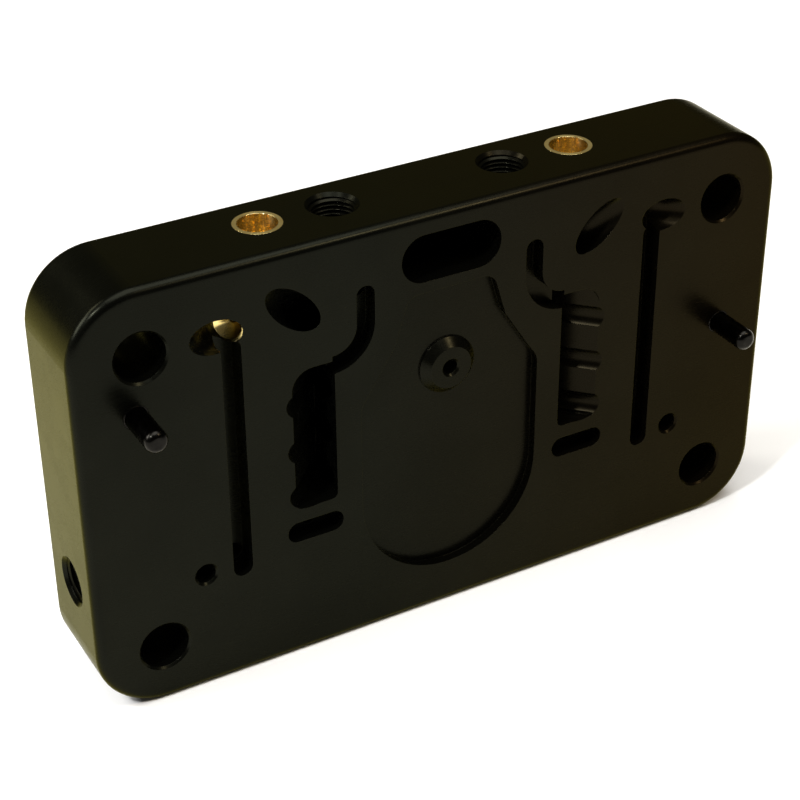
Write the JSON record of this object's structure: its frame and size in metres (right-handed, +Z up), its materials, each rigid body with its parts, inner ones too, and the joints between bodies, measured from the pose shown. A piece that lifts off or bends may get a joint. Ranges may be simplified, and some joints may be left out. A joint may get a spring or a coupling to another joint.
{
  "type": "manifold mounting block",
  "caption": "Black machined manifold block with round corners, brass-sleeved top ports, milled channels, a bossed centre pocket, locating pins and corner bolt holes.",
  "frame": {"origin": "centre of the flat bottom edge face that the block stands on", "axes": "+X to the right seen from the working face, +Y from the working face to the back, +Z up"},
  "size_m": [0.17, 0.036, 0.1],
  "materials": {
    "anodised_black": "black anodised, semi-gloss",
    "brass": "turned, bright",
    "seal_rubber": "matte",
    "pin_steel": "black oxide, polished"
  },
  "bodies": {
    "root": {"block_body": "anodised_black", "port_bush_left": "brass", "port_bush_right": "brass", "bush_seal_left": "seal_rubber", "bush_seal_right": "seal_rubber", "jet_left": "brass", "jet_right": "brass", "dowel_left": "pin_steel", "dowel_right": "pin_steel"}
  },
  "joints": []
}
